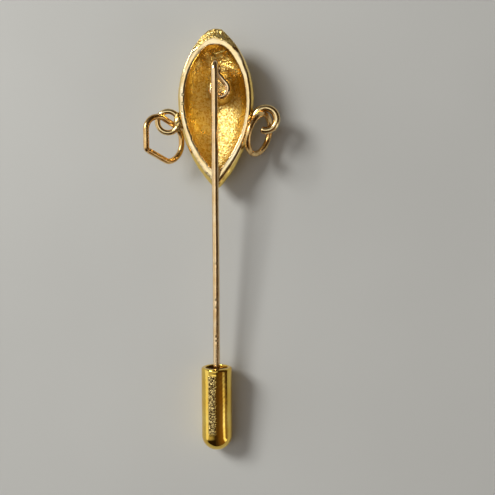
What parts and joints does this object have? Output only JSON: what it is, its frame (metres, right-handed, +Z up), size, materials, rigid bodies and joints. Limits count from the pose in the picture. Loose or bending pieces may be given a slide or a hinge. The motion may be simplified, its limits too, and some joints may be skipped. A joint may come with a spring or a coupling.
{
  "type": "stick pin",
  "caption": "Long gold-plated stick pin with a hollow pointed-oval ornament, a soldered wire stem, an eyelet and jump ring at each side, and a slide-on bullet clutch over the point.",
  "frame": {"origin": "on the table, under the middle of the pin's box, as the pin lies on its face with its back up", "axes": "+Z up, out of the pin's back; +Y along the pin towards the ornament; +X to the right seen from the back. The stem stands in the plane X = 0 and rises 5.4 degrees towards the ornament"},
  "size_m": [0.0197, 0.0614, 0.0078],
  "materials": {
    "cast_gold": "cast alloy, gold plated, polished on the rim and rough in the trough",
    "stem_wire": "drawn wire, pale gold plating",
    "eyelet_wire": "drawn wire, gold plated",
    "ring_wire": "drawn wire, darker gold plating",
    "polished_gold": "drawn cup, mirror-polished gold plating",
    "collar_brass": "pressed washer, dull",
    "spring_brass": "spring brass, unplated",
    "solder": "hard solder, plated over, lumpy"
  },
  "bodies": {
    "pin": {"ornament_shell": "cast_gold", "pin_stem": "stem_wire", "stem_solder": "solder", "left_eyelet": "eyelet_wire", "left_eyelet_solder": "solder", "right_eyelet": "eyelet_wire", "right_eyelet_solder": "solder"},
    "clutch_core": {"clutch_grip": "spring_brass"},
    "clutch_cup": {"clutch_barrel": "polished_gold", "clutch_collar": "collar_brass"},
    "left_ring": {"left_jump_ring": "ring_wire"},
    "right_ring": {"right_jump_ring": "ring_wire"}
  },
  "joints": [
    {"name": "clutch_slide", "type": "slide", "parent": "pin", "child": "clutch_core", "axis": [0, -0.9956, -0.0941], "range_m": [0, 0.025]},
    {"name": "clutch_spin", "type": "hinge", "parent": "clutch_core", "child": "clutch_cup", "pos_m": [0, -0.02424, 0.00264], "axis": [0, -0.9956, -0.0941], "continuous": true},
    {"name": "left_ring_swing", "type": "hinge", "parent": "pin", "child": "left_ring", "pos_m": [-0.00831, 0.01829, 0.0047], "axis": [0.5, 0.8622, 0.0815], "range_deg": [0, 80]},
    {"name": "right_ring_swing", "type": "hinge", "parent": "pin", "child": "right_ring", "pos_m": [0.00765, 0.01633, 0.00432], "axis": [0.9659, 0.2578, 0.0244], "range_deg": [0, 95]}
  ]
}
